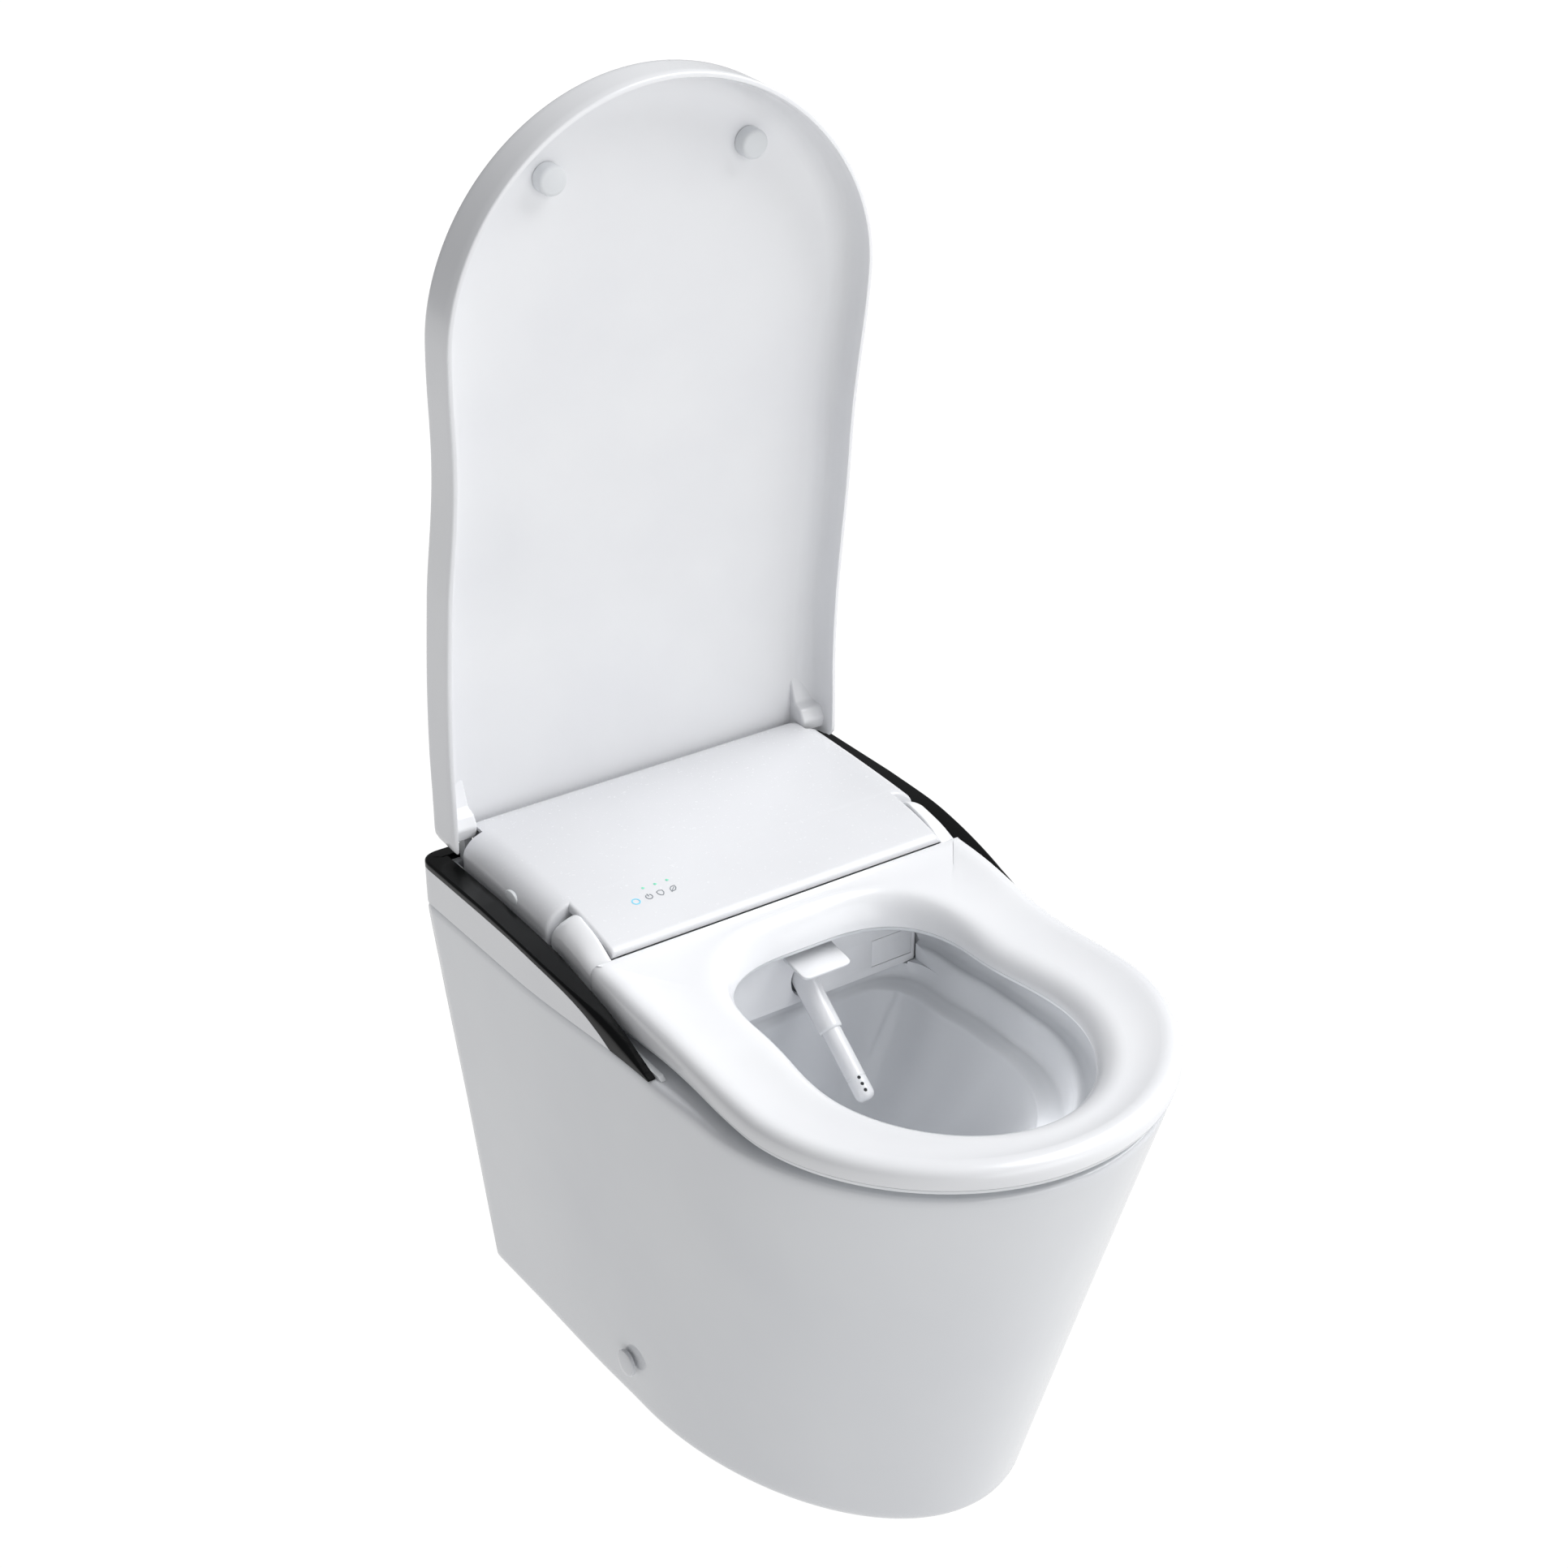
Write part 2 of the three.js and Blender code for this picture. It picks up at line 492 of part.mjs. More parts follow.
// ---------------------------------------------------------------- lid, drawn shut and level about its hinge
const lidPlan = {
  front: -591, lobe: 187.5, lobeY: -414, waist: 183, waistY: -300, rear: 186, rearY: -200, back: lidTop, corner: 9,
};
const lidHollow = { ...lidPlan, back: 36, corner: 34 };
const bowLine = new THREE.SplineCurve([
  [-590, 0], [-530, -2], [-470, -4.5], [-410, -5], [-340, -3], [-270, 1], [-200, 6], [-130, 9.5], [-70, 9],
  [-20, 5], [40, 1],
].map(([y, z]) => new THREE.Vector2(y, z)));
const bowPoints = bowLine.getPoints(60);
// Rise of the lid's middle above the straight line through its two ends.
function bow(y) {
  const k = THREE.MathUtils.clamp(bowPoints.findIndex((p) => p.x > y), 1, 60);
  const [a, b] = [bowPoints[k - 1], bowPoints[k]];
  return a.y + (b.y - a.y) * THREE.MathUtils.clamp((y - a.x) / (b.x - a.x), 0, 1);
}
const bowed = (points, z) => points.map((p) => new THREE.Vector3(p.x, p.y, z + bow(p.y)));
const shellRings = [[0, -lidSkirt], [0, 3.5], [-1.6, 8], [-5.5, 11], [-12, 12]];
const lidOuter = solid(skin(shellRings.map(([d, z]) => bowed(outline(lidPlan, d), z)), true));
const hollowStack = [[-4.2, -lidSkirt - 1], [-6, -8], [-8, -1], [-13, 2.8], [-22, lidInner]];
const lidInnerCut = solid(skin(hollowStack.map(([d, z]) => bowed(outline(lidHollow, d), z)), true));
const heelCut = solid(box(-200, 200, 0.01, 40, -40, 2)).subtract(solid(rod(16.9, 410, 'x', 0, 0, 0, 64)));
const hingeBlocks = hull([-1, 1].map((s) => solid(box(
  Math.min(s * 171, s * 184), Math.max(s * 171, s * 184), -12, 11, -12, 9))));
const bracketRoom = hull([-1, 1].map((s) => solid(rod(9, 13, 'x', s * 165.5, 0, 0, 32))));
const pinRoom = hull([-1, 1].map((s) => solid(rod(4.1, 24, 'x', s * 168, 0, 0, 32))));
const lidStand = (geometry) => geometry.rotateX(lidLean - Math.PI / 2).translate(0, lidAxis.y, lidAxis.z);
add('lid_shell', lidStand(geometryOf(
  lidOuter.subtract(lidInnerCut).subtract(heelCut).add(hingeBlocks).subtract(bracketRoom).subtract(pinRoom))), whiteGloss);
for (const [side, s] of [['left', -1], ['right', 1]]) {
  add(`lid_bumper_${side}`, lidStand(rod(11.5, 11, 'z', s * 87, -521, -4.1, 32)), softGrey);
  const bracket = solid(box(162, 169, 277, 286, 418.3, 450))
    .add(solid(rod(7.5, 7, 'x', 165.5, lidAxis.y, lidAxis.z, 28)))
    .subtract(solid(rod(4.1, 20, 'x', 165.5, lidAxis.y, lidAxis.z, 32)));
  add(`lid_bracket_${side}`, geometryOf(s < 0 ? bracket.mirror([1, 0, 0]) : bracket), whiteSatin);
  add(`lid_pin_${side}`, rod(4, 17, 'x', s * 170.8, lidAxis.y, lidAxis.z, 32), steel);
}

export default group;
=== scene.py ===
import json
import math
import bpy
import bmesh
import numpy as np
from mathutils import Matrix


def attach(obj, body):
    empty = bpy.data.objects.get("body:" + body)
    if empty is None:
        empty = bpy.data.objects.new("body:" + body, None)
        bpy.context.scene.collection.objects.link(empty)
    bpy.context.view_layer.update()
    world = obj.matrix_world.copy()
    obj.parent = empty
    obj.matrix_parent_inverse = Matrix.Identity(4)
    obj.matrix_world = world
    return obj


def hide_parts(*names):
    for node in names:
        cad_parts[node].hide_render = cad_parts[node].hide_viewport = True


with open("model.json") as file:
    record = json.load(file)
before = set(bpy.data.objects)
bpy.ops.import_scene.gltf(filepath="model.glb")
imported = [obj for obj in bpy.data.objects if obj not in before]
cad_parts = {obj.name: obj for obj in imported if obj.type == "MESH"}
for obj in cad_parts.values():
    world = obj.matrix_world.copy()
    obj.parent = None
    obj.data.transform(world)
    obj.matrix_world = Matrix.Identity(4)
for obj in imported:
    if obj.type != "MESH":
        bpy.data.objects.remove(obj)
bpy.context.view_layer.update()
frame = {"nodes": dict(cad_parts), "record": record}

mm = 0.001
nodes = frame["nodes"]


def linearColour(code):
    # each sRGB channel c becomes c/12.92 below 0.04045 and ((c+0.055)/1.055)^2.4 above it
    c = np.array([int(code[i:i + 2], 16) for i in (1, 3, 5)]) / 255
    c = np.where(c <= 0.04045, c / 12.92, ((c + 0.055) / 1.055) ** 2.4)
    return (*map(float, c), 1.0)


def addNode(tree, kind, settings=None, sockets=None, links=None):
    # one node with its settings, its socket values and the outputs that feed it
    node = tree.nodes.new(kind)
    for key, value in (settings or {}).items():
        setattr(node, key, value)
    for key, value in (sockets or {}).items():
        node.inputs[key].default_value = value
    for key, source in (links or {}).items():
        tree.links.new(source, node.inputs[key])
    return node


def moulded(name, low, high, roughLow, roughHigh, patch, grain, bump, **fixed):
    # two close tints mixed by a soft cloud of size patch (mm), a second fine cloud of size grain (mm)
    # drives roughness and a shallow bump of height bump (mm)
    material = bpy.data.materials.new(name)
    material.use_nodes = True
    tree = material.node_tree
    shader = tree.nodes["Principled BSDF"]
    where = addNode(tree, "ShaderNodeTexCoord").outputs["Object"]
    cloud = addNode(tree, "ShaderNodeTexNoise", None,
                    {"Scale": 1000 / patch, "Detail": 3.0, "Roughness": 0.5}, {"Vector": where})
    fine = addNode(tree, "ShaderNodeTexNoise", None,
                   {"Scale": 1000 / grain, "Detail": 2.0, "Roughness": 0.6}, {"Vector": where})
    ramp = addNode(tree, "ShaderNodeValToRGB", None, None, {"Fac": cloud.outputs["Fac"]})
    ramp.color_ramp.elements[0].position = 0.3
    ramp.color_ramp.elements[0].color = linearColour(low)
    ramp.color_ramp.elements[1].position = 0.7
    ramp.color_ramp.elements[1].color = linearColour(high)
    spread = addNode(tree, "ShaderNodeMapRange", None,
                     {"From Min": 0.3, "From Max": 0.7, "To Min": roughLow, "To Max": roughHigh},
                     {"Value": fine.outputs["Fac"]})
    relief = addNode(tree, "ShaderNodeBump", None, {"Strength": 0.35, "Distance": bump * mm},
                     {"Height": fine.outputs["Fac"]})
    tree.links.new(ramp.outputs["Color"], shader.inputs["Base Color"])
    tree.links.new(spread.outputs["Result"], shader.inputs["Roughness"])
    tree.links.new(relief.outputs["Normal"], shader.inputs["Normal"])
    for key, value in fixed.items():
        shader.inputs[key.replace("_", " ")].default_value = value
    return material


finishes = {
    # vitreous china under clear glaze: deep wet gloss, faint waviness of the glaze
    "china": moulded("glazedVitreousChina", "#D8DADE", "#DEE0E3", 0.05, 0.10, 180, 14, 0.05,
                     IOR=1.52, Coat_Weight=0.25, Coat_Roughness=0.03),
    # injection moulded ABS, polished tool: clean gloss with softer highlights than the china
    "white_gloss": moulded("polishedAbsWhite", "#E8E9EC", "#EDEEF0", 0.16, 0.24, 140, 3, 0.02, IOR=1.54),
    # polypropylene from an etched tool: fine even grain, no hard highlights
    "white_satin": moulded("etchedPolypropyleneWhite", "#DCDFE2", "#E4E6E8", 0.38, 0.5, 120, 1.2, 0.05,
                           IOR=1.49),
    # moulded ABS with a polished face: nearly black, broad soft reflections
    "black_gloss": moulded("pianoBlackAbs", "#040505", "#070809", 0.16, 0.24, 90, 4, 0.01, IOR=1.27),
    # glass filled nylon, as moulded: dull grey with a faint fleck
    "grey_plastic": moulded("filledNylonGrey", "#7E8489", "#8C9297", 0.42, 0.55, 60, 1.0, 0.06, IOR=1.53),
    # moulded silicone rubber: pale, no shine
    "soft_grey": moulded("siliconeRubberPale", "#DADDE0", "#E4E6E8", 0.5, 0.65, 60, 0.8, 0.05, IOR=1.41),
    # brushed stainless steel: grey metal with a slightly blurred reflection
    "steel": moulded("brushedStainless", "#A9ADB2", "#C3C6CA", 0.22, 0.36, 40, 0.6, 0.03, Metallic=1.0),
    # cast brass, tumbled: warm metal with a fine rough skin
    "brass": moulded("castBrass", "#B8934C", "#CDAA63", 0.3, 0.45, 30, 0.9, 0.06, Metallic=1.0),
    # glass epoxy board under green solder mask: even satin
    "board": moulded("solderMaskGreen", "#17543A", "#1F6B49", 0.3, 0.45, 12, 0.8, 0.05, IOR=1.5),
    # tinted diffusing acrylic: pale green, smooth
    "light": moulded("diffusingLens", "#7FDDBB", "#9DE8CD", 0.2, 0.3, 20, 1.0, 0.01, IOR=1.49),
}
# tinted diffusing acrylic: pale blue, smooth
cyanLens = moulded("ringLensCyan", "#6CC9E8", "#8AD8F0", 0.2, 0.3, 20, 1.0, 0.01, IOR=1.49)
# painted shade: the seat's white ABS in a darker copy, so the cover's lit top reads no brighter than the
# seat; a little rougher, with a lower IOR
shadedCoverWhite = moulded("paintedShadeAbsCover", "#D9DADD", "#DDDEE1", 0.2, 0.28, 140, 3, 0.02, IOR=1.45)
# painted shade: dark, dull colour for a disc at the floor of each spray hole, standing in for the shade down
# the narrow bore
boreShade = moulded("paintedBoreShade", "#26282B", "#303236", 0.5, 0.6, 20, 0.6, 0.01)
# pad printing ink on ABS: mid grey, thin and dull
inkGrey = moulded("printedInkGrey", "#6F757B", "#7D8389", 0.4, 0.5, 20, 0.6, 0.01)

for row in frame["record"]["subparts"]:
    node = nodes[row["node"]]
    node.data.materials.clear()
    node.data.materials.append(finishes[row["material_slot"]])
nodes["led_ring"].data.materials[0] = cyanLens
print("materials ready")


def objectFrom(name, points, faces, angle=35):
    # vertices in millimetres, faces as index rows; turned to face outwards, smooth below the angle
    mesh = bpy.data.meshes.new(name)
    mesh.from_pydata((np.asarray(points, float) * mm).tolist(), [], faces)
    piece = bpy.data.objects.new(name, mesh)
    bpy.context.scene.collection.objects.link(piece)
    settle(piece, angle)
    return piece


def settle(piece, angle=35):
    # doubles merged, faces outwards, edges sharper than the angle kept sharp
    work = bmesh.new()
    work.from_mesh(piece.data)
    bmesh.ops.remove_doubles(work, verts=work.verts, dist=1e-6)
    bmesh.ops.recalc_face_normals(work, faces=work.faces)
    if work.calc_volume(signed=True) < 0:
        bmesh.ops.reverse_faces(work, faces=work.faces)
    work.to_mesh(piece.data)
    work.free()
    piece.data.polygons.foreach_set("use_smooth", [True] * len(piece.data.polygons))
    piece.data.set_sharp_from_angle(angle=math.radians(angle))


def ringFaces(rows, count, wrapRows=False, caps=True):
    # quads between neighbouring rings of a (rows x count) grid, ends closed by one polygon each
    r = np.arange(rows if wrapRows else rows - 1)[:, None]
    c = np.arange(count)[None, :]
    n, d = (r + 1) % rows, (c + 1) % count
    corners = [r * count + c, r * count + d, n * count + d, n * count + c]
    quads = np.stack(corners, -1).reshape(-1, 4).tolist()
    if caps and not wrapRows:
        quads.append(list(range(count))[::-1])
        quads.append([(rows - 1) * count + i for i in range(count)])
    return quads


def loft(name, rings, wrapRows=False, angle=35):
    # a skin through equally long closed rings
    rings = np.asarray(rings, float)
    return objectFrom(name, rings.reshape(-1, 3), ringFaces(*rings.shape[:2], wrapRows), angle)


def block(name, x0, x1, y0, y1, z0, z1):
    # the eight corners of a box between two values of x, y and z
    corners = np.array([[x, y, z] for z in (z0, z1) for x, y in ((x0, y0), (x1, y0), (x1, y1), (x0, y1))])
    return objectFrom(name, corners, ringFaces(2, 4), 30)


def applyAll(piece):
    # modifiers baked into the mesh
    graph = bpy.context.evaluated_depsgraph_get()
    mesh = bpy.data.meshes.new_from_object(piece.evaluated_get(graph))
    piece.modifiers.clear()
    piece.data = mesh


def carve(piece, cutters, operation="DIFFERENCE", angle=35):
    # each cutter taken from the piece in turn, or joined to it, and then deleted
    for cutter in cutters:
        change = piece.modifiers.new("carve", "BOOLEAN")
        change.operation, change.solver, change.object = operation, "EXACT", cutter
        applyAll(piece)
        bpy.data.objects.remove(cutter)
    settle(piece, angle)
    return piece


def soften(piece, width, segments=3, angle=40):
    # edges sharper than the angle rounded to the width in millimetres
    change = piece.modifiers.new("soften", "BEVEL")
    change.width, change.segments = width * mm, segments
    change.limit_method, change.angle_limit = "ANGLE", math.radians(angle)
    applyAll(piece)
    settle(piece)
    return piece


def hand(piece, body, slot, *replaced, material=None):
    # finish, body, record slot and the plain solids it stands for
    piece.data.materials.clear()
    piece.data.materials.append(material or finishes[slot])
    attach(piece, body)
    if replaced:
        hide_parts(*replaced)
    return piece


def smoothStep(v, lo, hi):
    # t squared times (3 - 2t), t running from 0 at lo to 1 at hi
    t = np.clip((v - lo) / (hi - lo), 0, 1)
    return t * t * (3 - 2 * t)


def bezier(points, t):
    # the usual weights (1-t)^a t^b over the control points
    points = np.asarray(points, float)
    n = len(points) - 1
    return sum(math.comb(n, i) * ((1 - t) ** (n - i) * t ** i)[:, None] * points[i] for i in range(n + 1))


def outline(plan, offset=0.0, count=240):
    # half a plan in millimetres: three smooth arcs (front to lobe, to waist, to rear), a straight side,
    # a rounded corner and the back edge; evenly spaced by length, pushed out by offset, then mirrored
    front, lobe, lobeY, waist, waistY, rear, rearY, back, corner = plan
    lobeRun, waistRun = waistY - lobeY, rearY - waistY
    arcs = [
        [(0, front), (lobe * 0.56, front), (lobe, lobeY + (front - lobeY) * 0.5), (lobe, lobeY)],
        [(lobe, lobeY), (lobe, lobeY + lobeRun * 0.4), (waist, waistY - lobeRun * 0.4), (waist, waistY)],
        [(waist, waistY), (waist, waistY + waistRun * 0.35), (rear, rearY - waistRun * 0.35), (rear, rearY)],
        [(rear, rearY), (rear, back - corner)],
        [(rear, back - corner), (rear, back), (rear - corner, back)],
        [(rear - corner, back), (0, back)],
    ]
    t = np.linspace(0, 1, 120)
    dense = np.concatenate([bezier(a, t)[:-1] for a in arcs] + [[[0, back]]])
    step = np.linalg.norm(np.diff(dense, axis=0), axis=1)
    keep = np.r_[True, step > 1e-6]
    dense = dense[keep]
    run = np.r_[0, np.cumsum(np.linalg.norm(np.diff(dense, axis=0), axis=1))]
    s = np.linspace(0, run[-1], count // 2 + 1)
    half = np.stack([np.interp(s, run, dense[:, 0]), np.interp(s, run, dense[:, 1])], 1)
    along = np.gradient(half, axis=0)
    along[0], along[-1] = (1, 0), (-1, 0)
    along /= np.linalg.norm(along, axis=1)[:, None]
    half = half + offset * np.stack([along[:, 1], -along[:, 0]], 1)
    half[0, 0] = half[-1, 0] = 0
    return np.concatenate([half, (half * [-1, 1])[-2:0:-1]])


def mix(a, b, t):
    # a plus t times the difference
    return tuple(np.array(a) + (np.array(b) - np.array(a)) * t)


def ringAt(points, z):
    # plan points given the height z
    return np.column_stack([points, np.broadcast_to(z, len(points))])


def follow(points, count):
    # even samples along the cubic that passes through every point with the slope of its neighbours' chord
    points = np.asarray(points, float)
    n = len(points)
    t = np.linspace(0, n - 1, count)
    i = np.clip(t.astype(int), 0, n - 2)
    u = (t - i)[:, None]
    p = [points[np.clip(i + k, 0, n - 1)] for k in (-1, 0, 1, 2)]
    return 0.5 * (2 * p[1] + (p[2] - p[0]) * u + (2 * p[0] - 5 * p[1] + 4 * p[2] - p[3]) * u ** 2
                  + (3 * p[1] - p[0] - 3 * p[2] + p[3]) * u ** 3)


def rodAlong(name, centre, direction, profile, sides=48, angle=35, tube=False):
    # a profile of (distance along, radius) turned about the direction through the centre;
    # the profile of a tube is a closed loop
    d = np.array(direction, float)
    d /= np.linalg.norm(d)
    side = np.cross(d, [1, 0, 0] if abs(d[0]) < 0.9 else [0, 1, 0])
    side /= np.linalg.norm(side)
    other = np.cross(d, side)
    a = np.linspace(0, 2 * np.pi, sides, endpoint=False)
    circle = np.cos(a)[:, None] * side + np.sin(a)[:, None] * other
    rings = [np.array(centre) + d * s + circle * max(r, 0.02) for s, r in profile]
    return loft(name, rings, tube, angle)


pan = {
    # front, lobe, lobeY, waist, waistY, rear, rearY, back, corner
    "foot": (-188, 152, 55, 153, 130, 152, 230, 300, 6),
    "rim": (-297, 188, -100, 190.5, -20, 199, 150, 300, 14),
    "well": (-246, 143, -95, 143, -40, 138, 20, 79, 45),
    "throat": (-40, 30, -8, 31, 0, 30, 10, 44, 28),
    "deck": 385,
    # height, and the share of the way from the well's plan to the throat's
    "levels": [(385, -0.012), (383, -0.003), (378, 0.0), (362, 0.005), (353, 0.03), (349, 0.075), (345, 0.13),
               (324, 0.165), (319, 0.215), (314, 0.285), (308, 0.31), (280, 0.42), (240, 0.62),
               (205, 0.88), (180, 0.99), (170, 1.0)],
    "footTuck": 2.5, "footRise": 6, "rimTuck": 4.5, "rimStart": 377, "rimRound": 8,
    "serviceBay": (-122, 122, 150, 320, 18, 400),
    "unitBay": (-126, 126, 60, 152, 332, 400),
    "airNotch": (76, 122, 28, 70, 334, 400),
    "tunnel": [(4, 190), (40, 150), (90, 180), (200, 185)], "tunnelRadius": 27,
    "capAt": (65, 46), "pocketStart": 160, "pocket": [(0, 12.6), (8, 12.6)],
}
bolt = {"start": 159.9, "profile": [(0, 11.6), (2.4, 11.8), (3.1, 11.3), (3.5, 10), (3.7, 6), (3.8, 0)]}
rows = []
for z in [0, 1, 3, 6, *np.linspace(12, 372, 31), 376, 380, 382.5, 384.3, 385]:
    low = 1 - min(z / pan["footRise"], 1)
    high = max(0, z - pan["rimStart"]) / pan["rimRound"]
    edge = -pan["footTuck"] * low ** 2 - pan["rimTuck"] * (1 - math.sqrt(max(0, 1 - high ** 2)))
    rows.append(ringAt(outline(mix(pan["foot"], pan["rim"], z / pan["deck"]), edge), z))
rows += [ringAt(outline(mix(pan["well"], pan["throat"], t)), z) for z, t in follow(pan["levels"], 60)]
chinaPan = loft("china_pan", rows, angle=50)
bend = bezier(pan["tunnel"], np.linspace(0, 1, 24))
along = np.gradient(bend, axis=0)
along /= np.linalg.norm(along, axis=1)[:, None]
a = np.linspace(0, 2 * np.pi, 32, endpoint=False)
across, lift = pan["tunnelRadius"] * np.cos(a), pan["tunnelRadius"] * np.sin(a)
tunnelRings = [np.column_stack([across, p[0] - lift * d[1], p[1] + lift * d[0]]) for p, d in zip(bend, along)]
cuts = [block(name, *pan[name]) for name in ("serviceBay", "unitBay", "airNotch")]
cuts.append(loft("trapTunnel", tunnelRings))
cuts += [rodAlong("capPocket", (s * pan["pocketStart"], *pan["capAt"]), (s, 0, 0), pan["pocket"])
         for s in (-1, 1)]
hand(carve(chinaPan, cuts, angle=40), "base", "china", "bowl_pedestal")
for side, s in (("left", -1), ("right", 1)):
    cap = rodAlong(f"bolt_cover_{side}", (s * bolt["start"], *pan["capAt"]), (s, 0, 0), bolt["profile"])
    hand(cap, "base", "china", f"bolt_cap_{side}")
print("china pan")

band = {
    "foot": (-297, 188, -100, 190.5, -20, 199, 150, 300, 16),
    "head": (-297, 188, -100, 191, -20, 200, 150, 300, 18),
    "upper": [(-30, 386), (-8, 393), (14, 400), (40, 407), (73, 413), (108, 418), (141, 421.5), (200, 424)],
    "lower": [(22, 385.3), (36, 393), (56, 401.5), (82, 408.5), (116, 414), (152, 417.5), (200, 418.5)],
    "plate": 385.3, "flare": 60, "count": 720,
    "wideAt": [-40, 0, 60, 110, 286, 300], "wide": [5.5, 8, 13.5, 18.6, 19, 13],
    "trimStart": -30, "panelStart": 22.5, "panelGap": 0.4, "crown": 5.5, "seam": 149.7, "sideFrom": 150,
}
upperCurve = follow(band["upper"], 80)
lowerCurve = follow(band["lower"], 80)


def shellBand(name, start, low, high, crown=0.0, part=None):
    # a closed section with a rounded outer top edge carried round the plan from one side to the other;
    # low and high give its bottom and top for each distance back, crown the radius of that edge
    whole, head = outline(band["foot"], 0, band["count"]), outline(band["head"], 0, band["count"])
    inward = whole - outline(band["foot"], 1.0, band["count"])
    if part == "rear":
        index = np.where((np.abs(whole[:, 0]) < band["seam"]) & (whole[:, 1] > 200))[0]
    elif part:
        sign = 1 if part == "right" else -1
        index = np.where((whole[:, 0] * sign > band["sideFrom"]) & (whole[:, 1] >= start))[0]
    else:
        index = np.where(whole[:, 1] >= start)[0]
    y = whole[index, 1]
    zLow, zHigh = low(y), np.maximum(high(y), low(y) + 0.6)
    wide = np.interp(y, band["wideAt"], band["wide"])
    curve = np.minimum(crown, (zHigh - zLow) * 0.45)
    turn = np.radians(np.linspace(0, 90, 8))
    steps = [(0 * y, zLow), (0 * y, (zLow + zHigh - curve) / 2)]
    steps += [(curve * (1 - math.cos(t)), zHigh - curve * (1 - math.sin(t))) for t in turn]
    steps += [(wide, zHigh), (wide, zLow)]
    rings = []
    for push, z in steps:
        t = np.clip((z - band["plate"]) / band["flare"], 0, 1)[:, None]
        edge = whole[index] * (1 - t) + head[index] * t
        rings.append(np.column_stack([edge + inward[index] * push[:, None], z]))
    return loft(name, np.stack(rings, 1), angle=40)


def bandTop(y):
    # the trim's top edge: straight steps between samples of the upper curve
    return np.interp(y, upperCurve[:, 0], upperCurve[:, 1])


def bandFoot(y):
    # the trim's lower edge: straight steps between samples of the lower curve
    return np.interp(y, lowerCurve[:, 0], lowerCurve[:, 1])


def panelTop(y):
    # just below the trim's lower edge
    return bandFoot(y) - band["panelGap"]


def plate(y):
    # one height all round
    return np.full(len(y), band["plate"])


trim = shellBand("trim_strip", band["trimStart"], bandFoot, bandTop, band["crown"])
hand(trim, "base", "black_gloss", "trim_band")
for part in ("left", "right", "rear"):
    old = "rear_panel" if part == "rear" else f"side_panel_{part}"
    panel = shellBand(f"panel_{part}", band["panelStart"], plate, panelTop, 0.0, part)
    hand(panel, "base", "white_gloss", old)
print("trim and panels")

wand = {
    "exit": (12, 64, 355.0), "tilt": 38, "way": [(-112, 12.4), (10, 12.4)],
    "sleeve": [(-60, 8.35), (-60, 10), (47, 10), (48.6, 9.8), (49.6, 9.2), (50, 8.4), (46, 8.35)],
    "nozzle": [(0, 7.7), (0.3, 8), (92, 8), (92.4, 7.7), (93, 7.7), (93.4, 8), (106, 8), (108.4, 7.5),
               (110.4, 6.2), (111.6, 4), (112, 0)],
    "holes": (94, 99.5, 105), "holeLean": 0.22, "holeRadius": 1.5, "holeFloor": 6.6, "boreFloor": 6.3,
}
exitAt, tilt = np.array(wand["exit"]), math.radians(wand["tilt"])
forward = np.array([0, -math.cos(tilt), -math.sin(tilt)])
upper = np.array([0, -math.sin(tilt), math.cos(tilt)])


def wandWay():
    # the round passage left for the retracting wand
    return rodAlong("wandWay", exitAt, forward, wand["way"])


cover = {
    "side": 176.5, "tongue": 155.5, "shoulder": 26, "wall": 3, "sideWall": 3,
    "line": [(76, 430), (92, 434.5), (115, 439.5), (150, 443.5), (210, 446.8), (283, 449)],
    "footAt": 137, "foot": 411.2, "footSlope": 0.0545,
    # distance back and how far the front and rear edges are drawn in
    "front": [(137.6, 1.6), (138.0, 0.9), (138.8, 0.3), (140, 0)], "rear": [(280, 0.2), (282, 0.8), (283, 2)],
    "recess": (158, 200, 266, 290, 400, 470),
    # distance back, drop of the top and drop of the underside
    "lip": [(75.1, 3.0, 4.9), (75.4, 2.0, 5.5), (76.3, 1.0, 6.1), (78, 0.35, 6.4), (80, 0.05, 6.5)],
    "apron": (86, 92, 100, 118, 136), "apronSide": 152, "apronFoot": 408,
}
coverCurve = follow(cover["line"], 120)


def coverHeight(y):
    # the cover's top along its middle: straight steps between samples of its line
    return np.interp(y, coverCurve[:, 0], coverCurve[:, 1])


def archRing(y, half, top, shoulder, floor, corner=20):
    # flat foot, upright sides, quarter ellipse shoulders 0.72 times as high as they are wide
    a = np.linspace(0, np.pi / 2, corner)
    side, fall = half - shoulder * (1 - np.cos(a)), top - shoulder * 0.72 * (1 - np.sin(a))
    x = np.r_[-half, half, side, -side[::-1]]
    z = np.r_[floor, floor, fall, fall[::-1]]
    return np.column_stack([x, np.full(len(x), y), z])


def sideFoot(y):
    # the cover's lower edge: a straight line rising to the rear
    return cover["foot"] + (y - cover["footAt"]) * cover["footSlope"]


def archSolid(name, stations):
    # arch rings at each station (distance back, half width, top, shoulder, foot), skinned
    return loft(name, [archRing(*s) for s in stations], angle=38)


